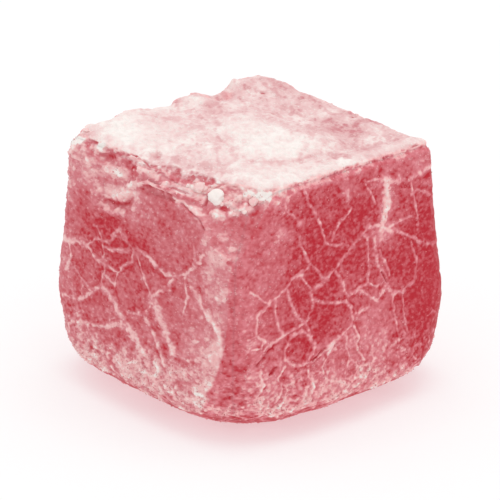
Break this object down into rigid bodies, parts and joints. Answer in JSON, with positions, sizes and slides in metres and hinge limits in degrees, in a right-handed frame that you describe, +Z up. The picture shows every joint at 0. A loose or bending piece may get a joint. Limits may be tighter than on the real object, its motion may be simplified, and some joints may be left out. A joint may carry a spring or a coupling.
{
  "type": "turkish delight cube",
  "caption": "Cube of rose turkish delight, knife cut and slumped a little at its base, dusted with starch, standing on a flat base.",
  "frame": {"origin": "centre of the cube's box at the level of its flat base", "axes": "+Z up; the two straightest sides face +X and -Y, and the torn rim of the top is over the -X side"},
  "size_m": [0.0262, 0.0258, 0.0215],
  "materials": {
    "rose_jelly": "soft rose-red starch jelly under a patchy matt white coat of starch and icing sugar, thick on top"
  },
  "bodies": {
    "root": {"delight_cube": "rose_jelly"}
  },
  "joints": []
}
